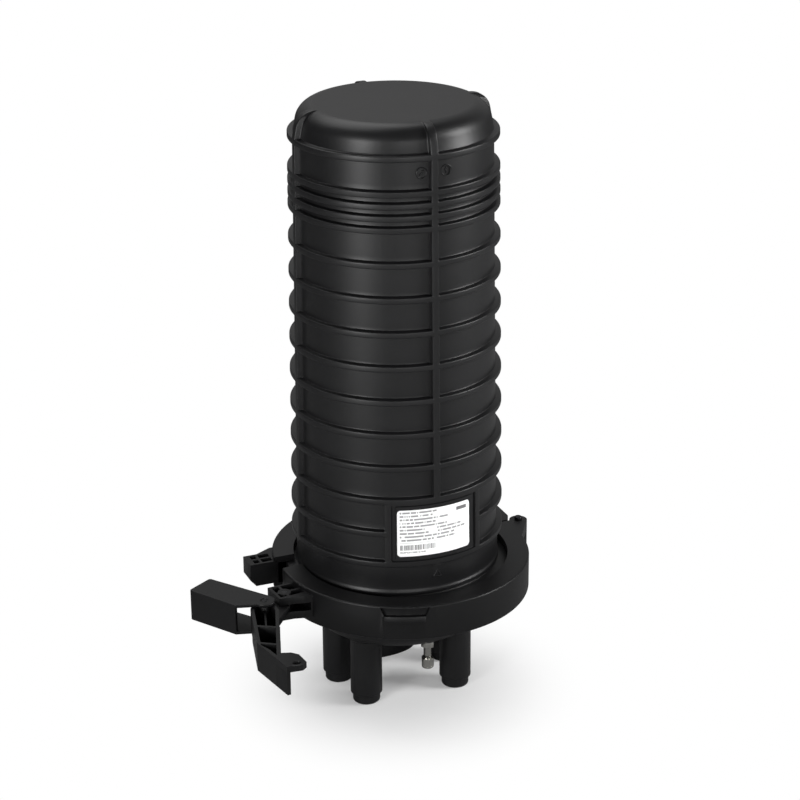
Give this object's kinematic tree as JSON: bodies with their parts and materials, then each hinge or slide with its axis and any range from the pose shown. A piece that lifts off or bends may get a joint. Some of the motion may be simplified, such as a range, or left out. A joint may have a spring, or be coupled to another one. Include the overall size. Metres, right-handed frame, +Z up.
{
  "type": "dome splice closure",
  "caption": "Tall ribbed dome splice closure for fibre cables, on a base with round and oval cable ports, with a hinged clamp ring, toggle latch and air valve.",
  "frame": {"origin": "on the dome's axis at the plane of the port ends", "axes": "+Z up along the dome, -Y towards the label, -X towards the latch"},
  "size_m": [0.3245, 0.2796, 0.5318],
  "materials": {
    "black_plastic": "fine moulded texture with a soft sheen",
    "label_film": "printed film",
    "seal_rubber": "smooth",
    "plated_brass": "nickel plate",
    "black_steel": "black coat",
    "pin_steel": "turned",
    "bracket_steel": "zinc plate",
    "tray_plastic": "moulded",
    "clear_plastic": "clear",
    "strap_fabric": "woven"
  },
  "bodies": {
    "closure": {"base_body": "black_plastic", "dome_cover": "black_plastic", "label": "label_film", "hinge_pin": "black_steel", "valve_body": "plated_brass", "valve_washer": "seal_rubber", "valve_nut": "plated_brass", "valve_core": "plated_brass", "seal_ring": "seal_rubber", "bracket_frame": "bracket_steel", "bracket_screws": "pin_steel", "tray_carrier": "tray_plastic", "splice_tray_1": "tray_plastic", "splice_tray_2": "tray_plastic", "splice_tray_3": "tray_plastic", "splice_tray_4": "tray_plastic", "tray_hinge_pins": "pin_steel", "tray_cover": "clear_plastic", "tray_strap": "strap_fabric", "fibre_basket": "tray_plastic", "cable_clamps": "tray_plastic", "member_posts": "plated_brass"},
    "front_half": {"clamp_front": "black_plastic", "handle_pin": "pin_steel"},
    "back_half": {"clamp_back": "black_plastic"},
    "handle": {"latch_handle": "black_plastic", "hook_pin": "black_steel"},
    "hook": {"draw_hook": "black_plastic"},
    "cap": {"valve_cap": "plated_brass"}
  },
  "joints": [
    {"name": "front_swing", "type": "hinge", "parent": "closure", "child": "front_half", "pos_m": [0.1215, 0.008, 0.113], "axis": [0, 0, 1], "range_deg": [-5.5, 60]},
    {"name": "back_swing", "type": "hinge", "parent": "closure", "child": "back_half", "pos_m": [0.1215, 0.008, 0.113], "axis": [0, 0, -1], "range_deg": [0, 60]},
    {"name": "handle_swing", "type": "hinge", "parent": "front_half", "child": "handle", "pos_m": [-0.12017, -0.04049, 0.1145], "axis": [0, 0, 1], "range_deg": [-20, 60]},
    {"name": "hook_swing", "type": "hinge", "parent": "handle", "child": "hook", "pos_m": [-0.14328, -0.05497, 0.1145], "axis": [0, 0, 1], "range_deg": [-20, 20]},
    {"name": "valve_cap_turn", "type": "hinge", "parent": "closure", "child": "cap", "pos_m": [0.00702, -0.05263, 0.0369], "axis": [0, 0, 1], "continuous": true}
  ]
}
